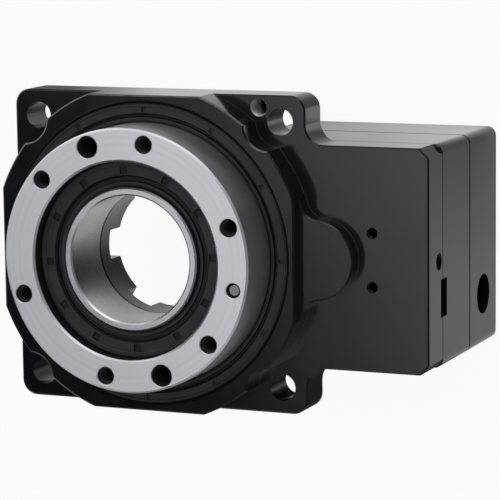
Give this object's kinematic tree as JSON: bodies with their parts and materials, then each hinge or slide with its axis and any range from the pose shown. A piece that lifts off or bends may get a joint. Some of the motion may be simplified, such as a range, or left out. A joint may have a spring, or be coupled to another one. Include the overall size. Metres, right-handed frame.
{
  "type": "hollow rotary platform",
  "caption": "Geared rotary table with a wide hollow bore on a crossed roller bearing, a square bolt-down flange and a side adapter for a servo motor.",
  "frame": {"origin": "on the table's turning axis, at the flange's rear mounting face", "axes": "+Z along the turning axis out of the table face, +X towards the motor adapter, +Y to the ear with the lifting hole"},
  "size_m": [0.14, 0.1, 0.094],
  "materials": {
    "black_anodised_aluminium": "fine blasted black anodised",
    "turned_steel": "fine turned and ground",
    "blackened_steel": "black oxide",
    "bearing_steel": "ground and polished",
    "gear_steel": "hobbed and hardened",
    "spring_steel": "phosphated",
    "clamp_aluminium": "machined",
    "spacer_plastic": "moulded",
    "black_rubber": "moulded matt"
  },
  "bodies": {
    "base": {"housing": "black_anodised_aluminium", "hollow_sleeve": "turned_steel", "slotted_tie_bush": "blackened_steel", "bearing_inner_ring": "bearing_steel", "outer_oil_seal": "black_rubber", "gear_case": "black_anodised_aluminium", "motor_flange": "black_anodised_aluminium", "case_seal_ring": "black_rubber", "adapter_screws": "blackened_steel", "dowels": "bearing_steel", "pinion_bearing_outer_rings": "bearing_steel", "bearing_spacer": "spring_steel", "case_retaining_ring": "spring_steel"},
    "table": {"table_ring": "turned_steel", "locating_pin": "bearing_steel", "bearing_outer_ring_lower": "bearing_steel", "bearing_outer_ring_upper": "bearing_steel", "ring_gear": "gear_steel", "gear_screws": "blackened_steel", "inner_oil_seal": "black_rubber"},
    "pinion": {"pinion_shaft": "gear_steel", "pinion_bearing_inner_rings": "bearing_steel", "shaft_retaining_ring": "spring_steel", "clamp_ring": "clamp_aluminium", "clamp_screw": "blackened_steel"},
    "roller_set": {"crossed_rollers": "bearing_steel", "roller_spacers": "spacer_plastic"},
    "ball_set": {"bearing_balls": "bearing_steel", "ball_cages": "spacer_plastic"}
  },
  "joints": [
    {"name": "table_spin", "type": "hinge", "parent": "base", "child": "table", "pos_m": [0, 0, 0], "axis": [0, 0, 1], "continuous": true},
    {"name": "pinion_spin", "type": "hinge", "parent": "base", "child": "pinion", "pos_m": [0.055, 0, 0], "axis": [0, 0, 1], "continuous": true},
    {"name": "roller_orbit", "type": "hinge", "parent": "base", "child": "roller_set", "pos_m": [0, 0, 0], "axis": [0, 0, 1], "continuous": true},
    {"name": "ball_orbit", "type": "hinge", "parent": "base", "child": "ball_set", "pos_m": [0.055, 0, 0], "axis": [0, 0, 1], "continuous": true}
  ],
  "couplings": [
    {"joint": "pinion_spin", "follows": "table_spin", "ratio": -5},
    {"joint": "roller_orbit", "follows": "table_spin", "ratio": 0.53091},
    {"joint": "ball_orbit", "follows": "table_spin", "ratio": -2.1635}
  ]
}
